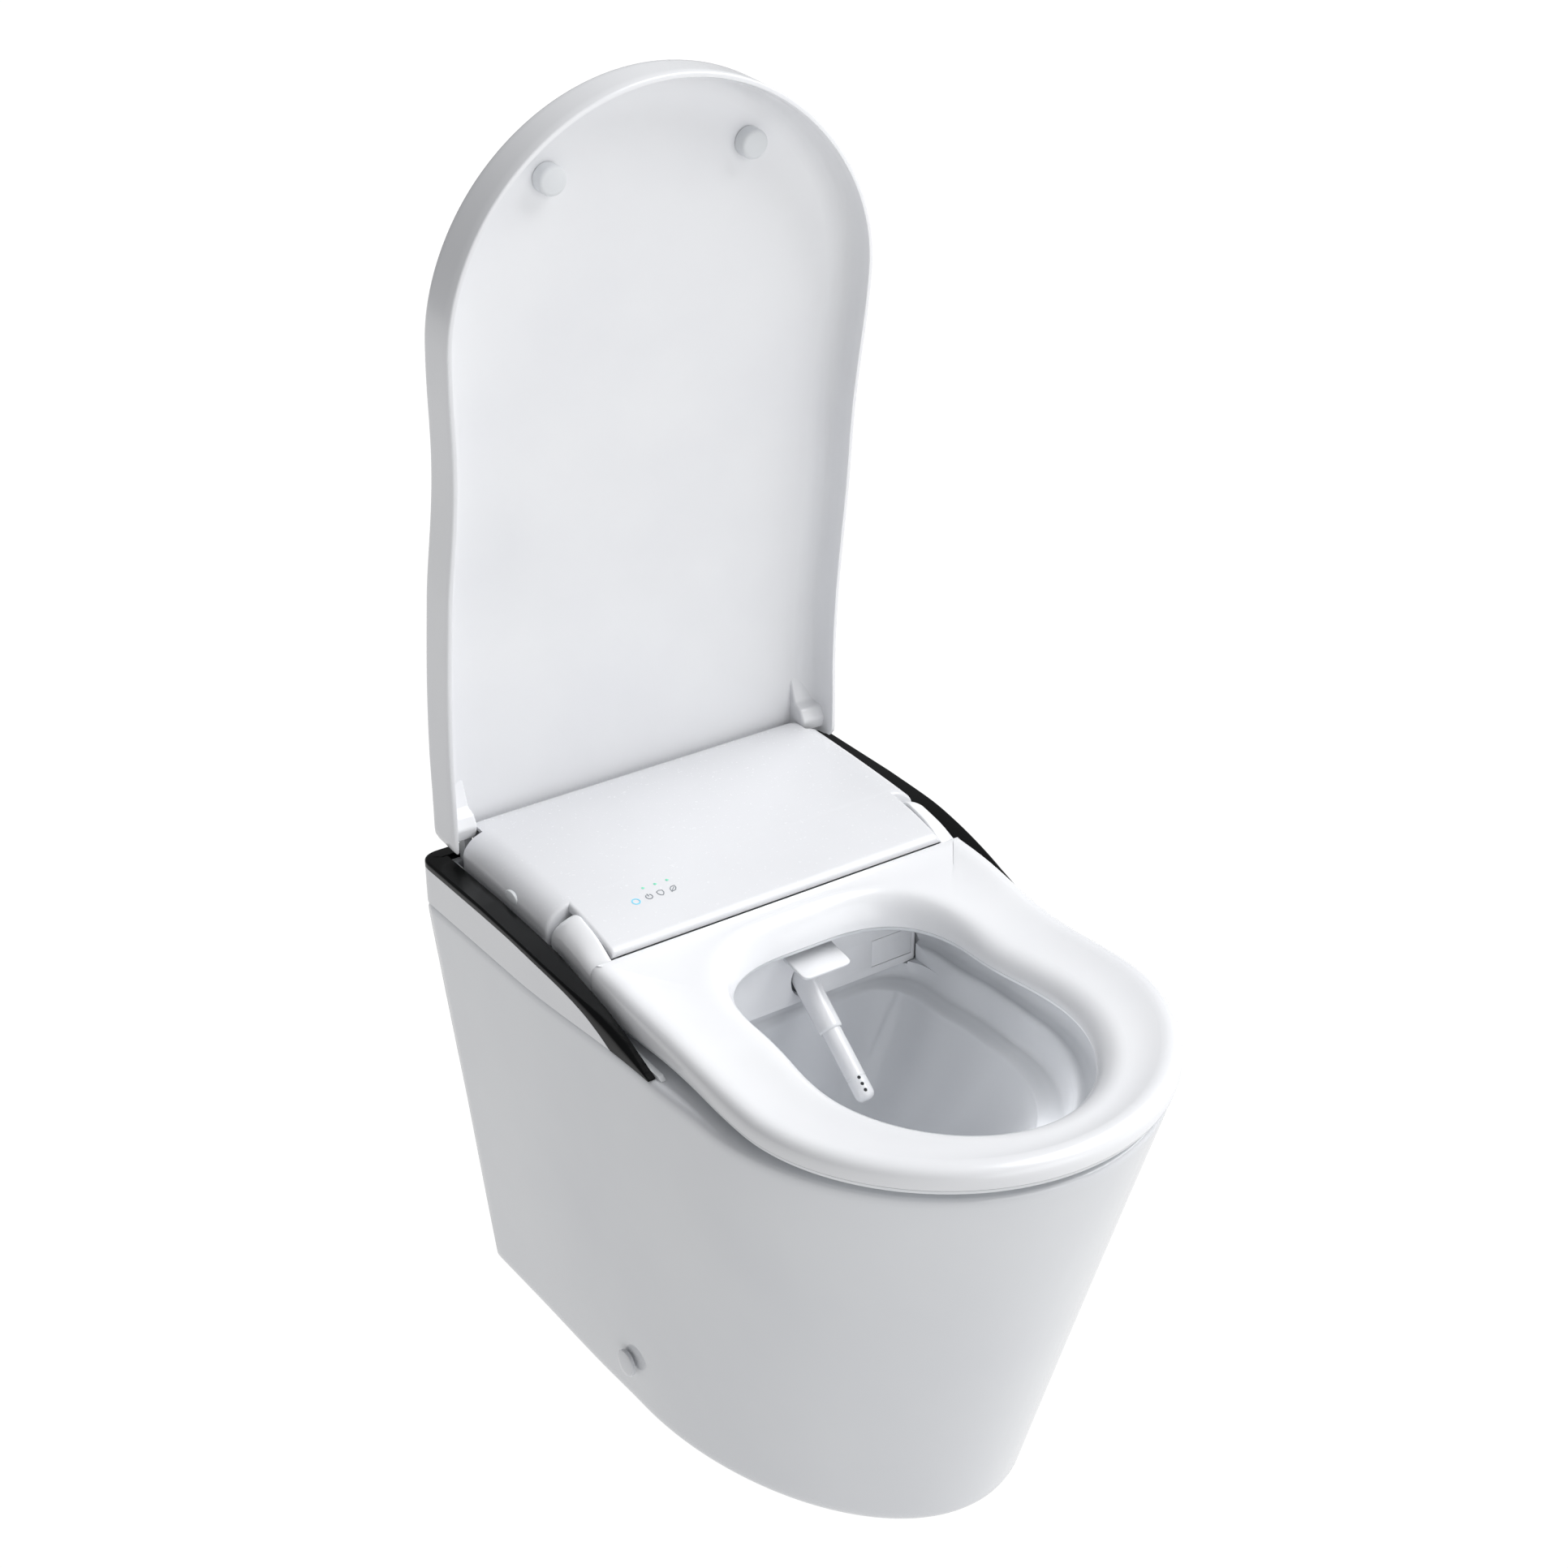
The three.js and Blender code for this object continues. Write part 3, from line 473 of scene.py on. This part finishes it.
edges = cover["front"] + [(y, 0) for y in np.linspace(145, 276, 30)] + cover["rear"]
body = archSolid("unit_hood", [(y, cover["side"] - r, coverHeight(y) - r, cover["shoulder"], sideFoot(y))
                               for y, r in edges])
hollow = archSolid("hollow", [(y, cover["side"] - cover["sideWall"], coverHeight(y) - cover["wall"], 24, 400)
                              for y in np.linspace(140.6, 279.5, 24)])
x0, x1, *rest = cover["recess"]
recess = [block("recess", min(s * x0, s * x1), max(s * x0, s * x1), *rest) for s in (-1, 1)]
carve(body, [hollow, *recess, wandWay()], angle=38)
# the cover takes the darker copy of the white ABS: painted shade
hand(body, "base", "white_gloss", "unit_cover", material=shadedCoverWhite)
lip = cover["lip"] + [(y, 0, 6.5) for y in np.linspace(82, 141, 24)]
tongue = archSolid("unit_tongue", [(y, cover["tongue"], coverHeight(y) - r, 3.5, coverHeight(y) - f)
                                   for y, r, f in lip])
# the tongue takes the same darker copy of the white ABS: painted shade
hand(tongue, "base", "white_gloss", material=shadedCoverWhite)
apron = archSolid("tongue_apron", [(y, cover["apronSide"], coverHeight(y) - 4, 3, cover["apronFoot"])
                                   for y in cover["apron"]])
hand(carve(apron, [wandWay()], angle=38), "base", "white_gloss")
key = {"at": (190, 430), "half": (9, 5),
       "profile": [(-170, 0.3), (-176, 0), (-176.7, 0.2), (-177.1, 0.8), (-177.3, 2.6)]}
oval = np.linspace(0, 2 * np.pi, 40, endpoint=False)
keyRings = [np.column_stack([np.full(40, x), key["at"][0] + (key["half"][0] - r) * np.cos(oval),
                             key["at"][1] + (key["half"][1] - r) * np.sin(oval)]) for x, r in key["profile"]]
button = loft("side_key", keyRings)
hand(button, "button", "soft_grey", "side_button")


def stroke(name, path, width, closed=False):
    # a flat ribbon of the width along a plan path, its top 0.2 mm above the cover
    path = np.asarray(path, float)
    along = np.gradient(path, axis=0)
    if closed:
        along = np.roll(path, -1, 0) - np.roll(path, 1, 0)
    along /= np.linalg.norm(along, axis=1)[:, None]
    side = np.stack([-along[:, 1], along[:, 0]], 1) * width / 2
    rings = []
    for s, h in ((1, 0.0), (1, 0.2), (-1, 0.2), (-1, 0.0)):
        xy = path + side * s
        rings.append(np.column_stack([xy, coverHeight(xy[:, 1]) + h]))
    grid = np.stack(rings, 1)
    if closed:
        return objectFrom(name, grid.reshape(-1, 3), ringFaces(len(path), 4, True, False))
    return loft(name, grid)


def arcPath(x, y, radius, start, end, count=28):
    # points of a circle between two angles in degrees
    a = np.radians(np.linspace(start, end, count))
    return np.column_stack([x + radius * np.cos(a), y + radius * np.sin(a)])


signs = {
    "y": 115.5, "line": 0.75, "power": (-96.5, 2.7), "ring": (-108.8, 3.1, 1.1),
    "shield": (-86, [(0, 3.2), (2.6, 2.2), (2.6, -0.4), (1.5, -2.2), (0, -3.2), (-1.5, -2.2), (-2.6, -0.4),
                     (-2.6, 2.2)]),
    "leaf": (-74.5, [(-2.8, -2.4), (-2.6, 0.6), (-0.6, 2.6), (2.8, 2.9), (2.6, 0.2), (1.0, -2.0),
                     (-1.2, -2.6)]),
    "vein": [(-77.6, -3.2), (-75.5, -0.8), (-73, 1.4)], "veinLine": 0.6,
    "lamps": (-95, -84, -73), "lampY": 127.0, "lamp": [(0, 1.4), (0.7, 1.4), (0.95, 1.0), (1.0, 0)],
}


def placed(middle, points):
    # plan points moved to a sign's middle on the line of signs
    return np.array(points, float) + (middle, signs["y"])


powerX, powerRadius = signs["power"]
marks = [
    stroke("mark_power_ring", arcPath(powerX, signs["y"], powerRadius, 120, 420), signs["line"]),
    stroke("mark_power_bar", placed(powerX, [(0, 0.4), (0, 2), (0, 3.6)]), signs["line"]),
    stroke("mark_shield", placed(*signs["shield"]), signs["line"], True),
    stroke("mark_leaf", placed(*signs["leaf"]), signs["line"], True),
    stroke("mark_leaf_vein", placed(0, signs["vein"]), signs["veinLine"]),
]
for mark in marks:
    hand(mark, "base", "grey_plastic", material=inkGrey)
ringX, ringRadius, ringLine = signs["ring"]
ringLamp = stroke("ring_lamp", arcPath(ringX, signs["y"] - 0.5, ringRadius, 0, 354, 60), ringLine, True)
hand(ringLamp, "base", "light", "led_ring", material=cyanLens)
for k, x in enumerate(signs["lamps"]):
    foot = (x, signs["lampY"], coverHeight(signs["lampY"]) - 0.6)
    lamp = rodAlong(f"dot_lamp_{k + 1}", foot, (0, 0, 1), signs["lamp"], 24)
    hand(lamp, "base", "light", f"led_dot_{k + 1}")
print("cover and marks")


seat = {
    "plan": (-300, 179, -130, 174.5, -30, 176.6, 40, 74.3, 2),
    "hole": (-250, 107, -130, 99, -45, 99, -40, 43, 78),
    "rise": 14, "riseFrom": -75, "riseTo": 78, "squareFrom": 60, "square": 0.26, "dish": 1.3,
    "axis": (118, 424), "earPivot": (92, 415),
    # push on the outline, height, share of the lift towards the hinge
    "shoulder": [(0, 396.5, 0), (0, 399, 0.4), (0, 402, 0.9), (-0.4, 405, 1), (-1.4, 407.4, 1),
                 (-3.0, 409.4, 1), (-5.4, 411.0, 1), (-8.6, 412.0, 1), (-13, 412.4, 1)],
    "inside": [(18, 410.6, 1), (13.5, 409.9, 0.98), (10, 408.6, 0.9), (6.5, 406.4, 0.72), (3.8, 403.8, 0.5),
               (1.8, 401.2, 0.25), (0.5, 398.8, 0.1), (0, 396.5, 0)],
    "underOut": [(-4, 392), (-1.8, 392.6), (-0.7, 394), (-0.3, 396)],
    "underIn": [(0.3, 396), (0.8, 394), (1.6, 392.6), (3.5, 392)],
    "earTop": [(56, 415), (74, 424.6), (94, 435), (118, 441.5)],
    "earFoot": [(108, 405.2), (100, 404.8), (84, 400), (56, 400)], "earReach": 17.5, "earDrop": 18.5,
    # distance from the middle and how far the side profile is pulled in there
    "earSteps": [(156.3, 1.2), (156.6, 0.5), (157.3, 0), (159, 0), (162, 0), (165, 0), (168, 0),
                 (170.5, 0.15), (172.5, 0.6), (174, 1.5), (174.9, 2.8), (175.3, 4.2)],
    "feet": {"front_left": (-62, -262), "front_right": (62, -262), "rear_left": (-160, -60),
             "rear_right": (160, -60)},
    "footTop": 391.7, "foot": [(0, 8), (4.8, 8), (5.7, 7.4), (6.1, 6), (6.2, 0)],
}


def rise(y):
    # the seat's lift towards the hinge: a smooth step
    return seat["rise"] * smoothStep(y, seat["riseFrom"], seat["riseTo"])


def seatRing(which, offset, z, share=0.0):
    # the outline pushed by offset, its straight rear edge kept almost square, lifted towards the hinge
    p, edge = outline(seat[which], offset, 320), outline(seat[which], 0, 320)
    if which == "plan":
        p[:, 1] = np.where(edge[:, 1] > seat["squareFrom"], edge[:, 1] + seat["square"] * offset, p[:, 1])
    return np.column_stack([p, z + share * rise(p[:, 1])])


topOut, topIn = seatRing("plan", *seat["shoulder"][-1]), seatRing("hole", *seat["inside"][0])
rows = [seatRing("plan", *step) for step in seat["shoulder"]]
for t in np.linspace(0.12, 0.88, 7):
    between = topOut + (topIn - topOut) * t
    between[:, 2] -= seat["dish"] * math.sin(math.pi * t)
    rows.append(between)
rows += [seatRing("hole", *step) for step in seat["inside"]]
seatTop = loft("seat_ring", rows, wrapRows=True, angle=42)
a = np.radians(np.linspace(80, -90, 24))
height = np.where(a > 0, seat["earReach"], seat["earDrop"]) * np.sin(a)
earBack = np.column_stack([seat["axis"][0] + seat["earReach"] * np.cos(a), seat["axis"][1] + height])
earSide = np.concatenate([follow(seat["earTop"], 18), earBack, seat["earFoot"]])
pivot = np.array(seat["earPivot"], float)


def earRing(x, inset):
    # the side profile pulled in by inset at the two faces, its upper half dropping with the cover's shoulder
    ring = earSide - inset * (earSide - pivot) / np.linalg.norm(earSide - pivot, axis=1)[:, None]
    inner = cover["side"] - cover["shoulder"]
    drop = 18.7 * (1 - math.sqrt(max(0, 1 - ((abs(x) - inner) / cover["shoulder"]) ** 2)))
    z = ring[:, 1] - drop * np.clip((ring[:, 1] - 404) / 38, 0, 1)
    return np.column_stack([np.full(len(ring), x), ring[:, 0], z])


ears = [loft("ear", [earRing(s * x, d) for x, d in seat["earSteps"]], angle=50) for s in (-1, 1)]
hand(carve(seatTop, ears, "UNION", 42), "seat", "white_gloss", "seat_top")
under = [seatRing("plan", *step) for step in seat["underOut"]]
under += [seatRing("hole", *step) for step in seat["underIn"]]
hand(loft("seat_underside", under, wrapRows=True, angle=50), "seat", "white_satin", "seat_base")
for place, (x, y) in seat["feet"].items():
    pad = rodAlong(f"seat_buffer_{place}", (x, y, seat["footTop"]), (0, 0, -1), seat["foot"])
    hand(pad, "seat", "soft_grey", f"seat_foot_{place}")
print("seat")


# the lid is drawn shut and level, then stood up about its hinge
lid = {
    "plan": (-591, 187.5, -414, 183, -300, 186, -200, 16, 12), "axis": (283, 450), "lean": 4.5,
    "inner": 4.5, "heel": 24, "heelFrom": 2, "middle": -285, "hollowRear": (62, 44),
    "bow": [(-591, 0), (-530, -2), (-470, -4.5), (-410, -5), (-340, -3), (-270, 1), (-200, 6), (-130, 9.5),
            (-70, 9), (-20, 5), (40, 1)],
    # push on the outline and height
    "crown": [(-7, 12.4), (-4.6, 12.1), (-2.8, 11.2), (-1.4, 9.9), (-0.5, 8.2), (0, 6), (0, 2), (0, -8),
              (0, -16), (0, -24.6), (-0.4, -25.5), (-1.2, -26)],
    "draft": [(-3.4, -26.6), (-3.8, -25.6), (-4.3, -24.4), (-4.8, -18), (-5.8, -10), (-8, -4), (-11.5, -0.2),
              (-15, 2.2), (-19, 3.8), (-23, 4.5)],
    "gusset": [(-38, 6), (-13, -3), (-11, -11), (-2, -16), (8, -13.5), (12, -9), (12, 9), (-34, 9)],
    "gussetSides": (159.2, 183.5), "bufferAt": (87.0, -521.0),
    "buffer": [(0, 11.5), (8.4, 11.5), (9.8, 11.1), (10.6, 10.2), (11, 8.6), (11.1, 0)],
}
bowCurve = follow(lid["bow"], 120)


def stood(points, rounded=True):
    # bowed along its length, heel rounded about the axis, turned by lean less a quarter turn, then put
    # at the hinge
    points = points.copy()
    points[..., 2] += np.interp(points[..., 1], bowCurve[:, 0], bowCurve[:, 1])
    reach = np.hypot(points[..., 1], points[..., 2])
    heel = rounded & (points[..., 1] > 0) & (points[..., 2] < lid["heelFrom"]) & (reach > lid["heel"])
    points[..., 1:] *= np.where(heel, lid["heel"] / np.maximum(reach, 1e-6), 1.0)[..., None]
    a = math.radians(lid["lean"] - 90)
    x, y, z = points[..., 0], points[..., 1], points[..., 2]
    return np.stack([x, lid["axis"][0] + y * math.cos(a) - z * math.sin(a),
                     lid["axis"][1] + y * math.sin(a) + z * math.cos(a)], -1)


def lidRing(offset, z, count=360):
    # the lid's outline pushed by offset at height z
    p = outline(lid["plan"], offset, count)
    return np.column_stack([p, np.full(count, float(z))])


def shrunk(ring, share, z):
    # the ring drawn towards the lid's middle to a share of its size, at height z
    centre = np.array([0, lid["middle"]])
    out = ring.copy()
    out[:, :2] = centre + (ring[:, :2] - centre) * share
    out[:, 2] = z
    return out


shares = (0.02, 0.2, 0.4, 0.6, 0.8)
rows = [shrunk(lidRing(*lid["crown"][0]), s, lid["crown"][0][1]) for s in (*shares, 0.93)]
rows += [lidRing(d, z) for d, z in lid["crown"]]
rows += [shrunk(lidRing(-6, -26), s, -26) for s in (1, *shares[::-1])]
lidShell = loft("lid_panel", stood(np.array(rows)), angle=48)
hollowPlan = (*lid["plan"][:7], *lid["hollowRear"])
rings = [ringAt(outline(hollowPlan, d, 360), z) for d, z in lid["draft"]]
rows = [shrunk(rings[0], s, -29) for s in (*shares, 1)]
rows += rings + [shrunk(rings[-1], s, lid["inner"]) for s in (0.93, *shares[::-1])]
hollow = loft("lidHollow", stood(np.array(rows), False))
hand(carve(lidShell, [hollow], angle=48), "lid", "white_gloss", "lid_shell")
for side, s in (("left", -1), ("right", 1)):
    sides = [np.column_stack([np.full(8, s * x), lid["gusset"]]) for x in lid["gussetSides"]]
    hinge = loft(f"lid_knuckle_{side}", [stood(flat, False) for flat in sides])
    hand(soften(hinge, 2.2, 3), "lid", "white_gloss")
outward = stood(np.array([[0, 0, -1.0]]))[0] - stood(np.array([[0, 0, 0.0]]))[0]
for side, s in (("left", -1), ("right", 1)):
    x, y = lid["bufferAt"]
    base = stood(np.array([[s * x, y, lid["inner"] - 0.5]]))[0]
    pad = rodAlong(f"lid_buffer_{side}", base, outward, lid["buffer"])
    hand(pad, "lid", "soft_grey", f"lid_bumper_{side}")
print("lid")


sleeve = rodAlong("wand_sleeve", exitAt, forward, wand["sleeve"], tube=True)
hand(sleeve, "wand", "white_gloss", "wand_outer")
tip = rodAlong("wand_nozzle", exitAt, forward, wand["nozzle"], 64)
sprayWay = upper - np.array([wand["holeLean"], 0, 0])
sprayWay /= np.linalg.norm(sprayWay)
holes = [rodAlong("sprayHole", exitAt + forward * s + sprayWay * wand["holeFloor"], sprayWay,
                  [(0, wand["holeRadius"]), (4, wand["holeRadius"])], 20) for s in wand["holes"]]
hand(carve(tip, holes, angle=35), "wand_tip", "white_gloss", "wand_inner")
# a near-black disc at the floor of each spray hole: painted shade of the bore
for k, s in enumerate(wand["holes"]):
    dark = rodAlong(f"spray_bore_shade_{k + 1}", exitAt + forward * s + sprayWay * wand["boreFloor"], sprayWay,
                    [(0, wand["holeRadius"]), (0.7, wand["holeRadius"])], 20)
    hand(dark, "wand_tip", "grey_plastic", material=boreShade)
door = {
    "axis": (12, 58.3, 382), "tilt": 10, "thick": 3,
    "plan": [(-23, 0), (23, 0), (23, -24), (22.5, -27), (20.5, -29.2), (17, -30), (-17, -30), (-20.5, -29.2),
             (-22.5, -27), (-23, -24)],
}
corner, a = np.array(door["plan"]), math.radians(door["tilt"])
x, y, z = door["axis"]
flapRings = [np.column_stack([x + corner[:, 0], y + corner[:, 1] * math.cos(a) - d * math.sin(a),
                              z + corner[:, 1] * math.sin(a) + d * math.cos(a)])
             for d in (-door["thick"] / 2, door["thick"] / 2)]
flap = soften(loft("nozzle_door", flapRings), 1.1, 3)
hand(flap, "flap", "white_gloss", "nozzle_flap")
housing = {"wall": (-122, 122, 62, 65, 333, 384.5), "cheek": (119.3, 122, 62, 110, 333, 384.5),
           "wandHole": [(-40, 12.5), (40, 12.5)], "airHole": (78.7, 119.3, 50, 70, 339.7, 364.7),
           "airDoor": (79, 119, 62.2, 64.2, 340, 364)}
wall = block("housing_front", *housing["wall"])
x0, x1, *rest = housing["cheek"]
cheeks = [block("cheek", min(s * x0, s * x1), max(s * x0, s * x1), *rest) for s in (-1, 1)]
carve(wall, cheeks, "UNION")
openings = [rodAlong("wandHole", exitAt, forward, housing["wandHole"]), block("airHole", *housing["airHole"])]
hand(soften(carve(wall, openings), 0.8, 2), "base", "white_gloss", "front_fascia")
airDoor = soften(block("air_door", *housing["airDoor"]), 0.7, 2)
hand(airDoor, "shutter", "white_gloss", "dryer_shutter")
print("wand and housing")


glow = {"floor": 1.0, "bounce": 0.85, "sky": 0.30, "spread": 50,
        "suns": (("softSun", 3.0, (0.74, -0.27, 1.0)), ("frontSun", 0.95, (0.1, -1.0, 0.1))),
        "fillAt": (0.045, -0.165, 0.335), "fill": 0.16, "fillSize": 0.04}
floorMesh = bpy.data.meshes.new("floor")
floorMesh.from_pydata([(-6, -6, 0), (6, -6, 0), (6, 6, 0), (-6, 6, 0)], [], [(0, 1, 2, 3)])
floor = bpy.data.objects.new("floor", floorMesh)
bpy.context.scene.collection.objects.link(floor)
# matt floor that glows evenly: it shows as white and lights the object a little less than it shows
paleFloor = moulded("paleFloor", "#141414", "#181818", 0.8, 0.9, 400, 6, 0.02)
paleFloor.node_tree.nodes["Principled BSDF"].inputs["Emission Color"].default_value = (1, 1, 1, 1)
tree = paleFloor.node_tree
seen = addNode(tree, "ShaderNodeLightPath").outputs["Is Camera Ray"]
level = addNode(tree, "ShaderNodeMath", {"operation": "MULTIPLY_ADD"},
                {1: glow["floor"] - glow["bounce"], 2: glow["bounce"]}, {0: seen})
tree.links.new(level.outputs["Value"], tree.nodes["Principled BSDF"].inputs["Emission Strength"])
floorMesh.materials.append(paleFloor)

world = bpy.data.worlds.new("softRoom")
bpy.context.scene.world = world
world.use_nodes = True
world.node_tree.nodes["Background"].inputs["Color"].default_value = linearColour("#F8F9FB")
world.node_tree.nodes["Background"].inputs["Strength"].default_value = glow["sky"]

for name, power, (x, y, z) in glow["suns"]:
    beam = bpy.data.lights.new(name, "SUN")
    beam.energy, beam.angle = power, math.radians(glow["spread"])
    sun = bpy.data.objects.new(name, beam)
    bpy.context.scene.collection.objects.link(sun)
    sun.rotation_euler = (math.atan2(math.hypot(x, y), z), 0, math.atan2(x, -y))

bulb = bpy.data.lights.new("bowlFill", "POINT")
bulb.energy, bulb.shadow_soft_size = glow["fill"], glow["fillSize"]
fill = bpy.data.objects.new("bowlFill", bulb)
bpy.context.scene.collection.objects.link(fill)
fill.location = glow["fillAt"]
fill.visible_camera = fill.visible_glossy = False

view = {"at": (-1.031, -1.400, 1.489), "turn": (61.85, 0, -35), "sensor": 36, "lens": 61.49}
lens = bpy.data.cameras.new("camera")
lens.sensor_width, lens.lens = view["sensor"], view["lens"]
lens.clip_start, lens.clip_end = 0.05, 50
camera = bpy.data.objects.new("camera", lens)
bpy.context.scene.collection.objects.link(camera)
camera.location = view["at"]
camera.rotation_euler = [math.radians(turn) for turn in view["turn"]]
bpy.context.scene.camera = camera
bpy.context.scene.view_settings.view_transform = "Standard"
print("room ready")

bpy.context.view_layer.update()
